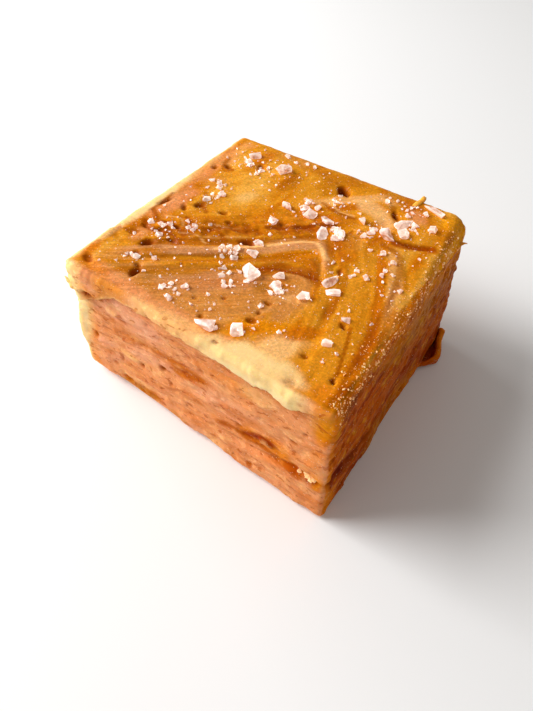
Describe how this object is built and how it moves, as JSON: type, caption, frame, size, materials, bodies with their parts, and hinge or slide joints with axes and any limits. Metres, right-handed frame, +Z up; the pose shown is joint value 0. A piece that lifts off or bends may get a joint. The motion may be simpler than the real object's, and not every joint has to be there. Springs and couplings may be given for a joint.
{
  "type": "square of caramel swirl fudge",
  "caption": "Hand-cut square of caramel swirl fudge with a worked, ridged top strewn with coarse salt, knife-cut sides and a flat base.",
  "frame": {"origin": "middle of the bounding box, at the flat foot", "axes": "+Z up through the worked top, -Y out of the pale front cut, +X out of the darker right cut"},
  "size_m": [0.0576, 0.054, 0.0303],
  "materials": {
    "fudge": "pale caramel fudge swirled with darker amber caramel, satin and finely granular, with white salt crystals on top"
  },
  "bodies": {
    "root": {"fudge": "fudge"}
  },
  "joints": []
}
